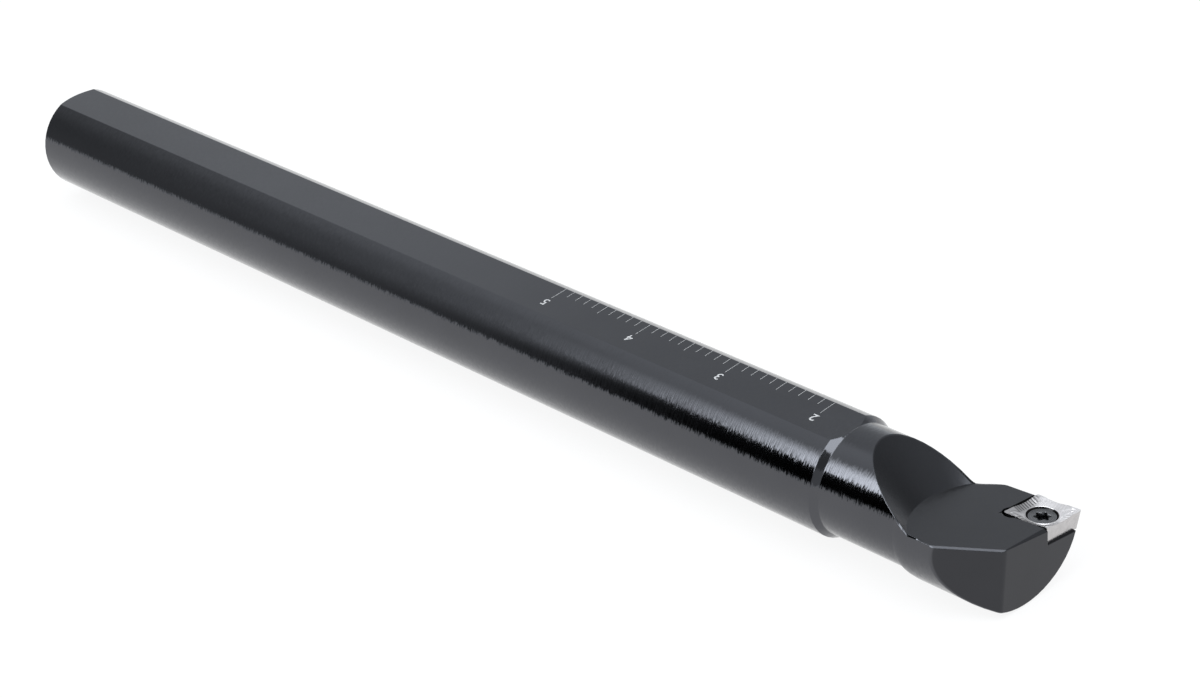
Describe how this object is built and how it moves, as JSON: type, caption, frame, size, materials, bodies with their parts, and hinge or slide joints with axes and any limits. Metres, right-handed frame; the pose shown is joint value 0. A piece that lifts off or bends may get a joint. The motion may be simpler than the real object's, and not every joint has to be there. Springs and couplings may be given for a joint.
{
  "type": "boring bar",
  "caption": "Round steel boring bar with flats on its shank and an off-centre head that carries a screw-clamped 80 degree rhombic carbide insert.",
  "frame": {"origin": "centre of the tail end face, on the shank's axis", "axes": "+X along the shank's axis towards the cutting tip, +Z the outward normal of the top flat, +Y the side that the cutting tip points to"},
  "size_m": [0.3048, 0.0299, 0.0256],
  "materials": {
    "bar_steel": "black oxide, satin, with fine turning marks",
    "carbide": "ground and polished uncoated carbide",
    "screw_steel": "black oxide"
  },
  "bodies": {
    "root": {"bar": "bar_steel", "insert": "carbide", "clamp_screw": "screw_steel"}
  },
  "joints": []
}
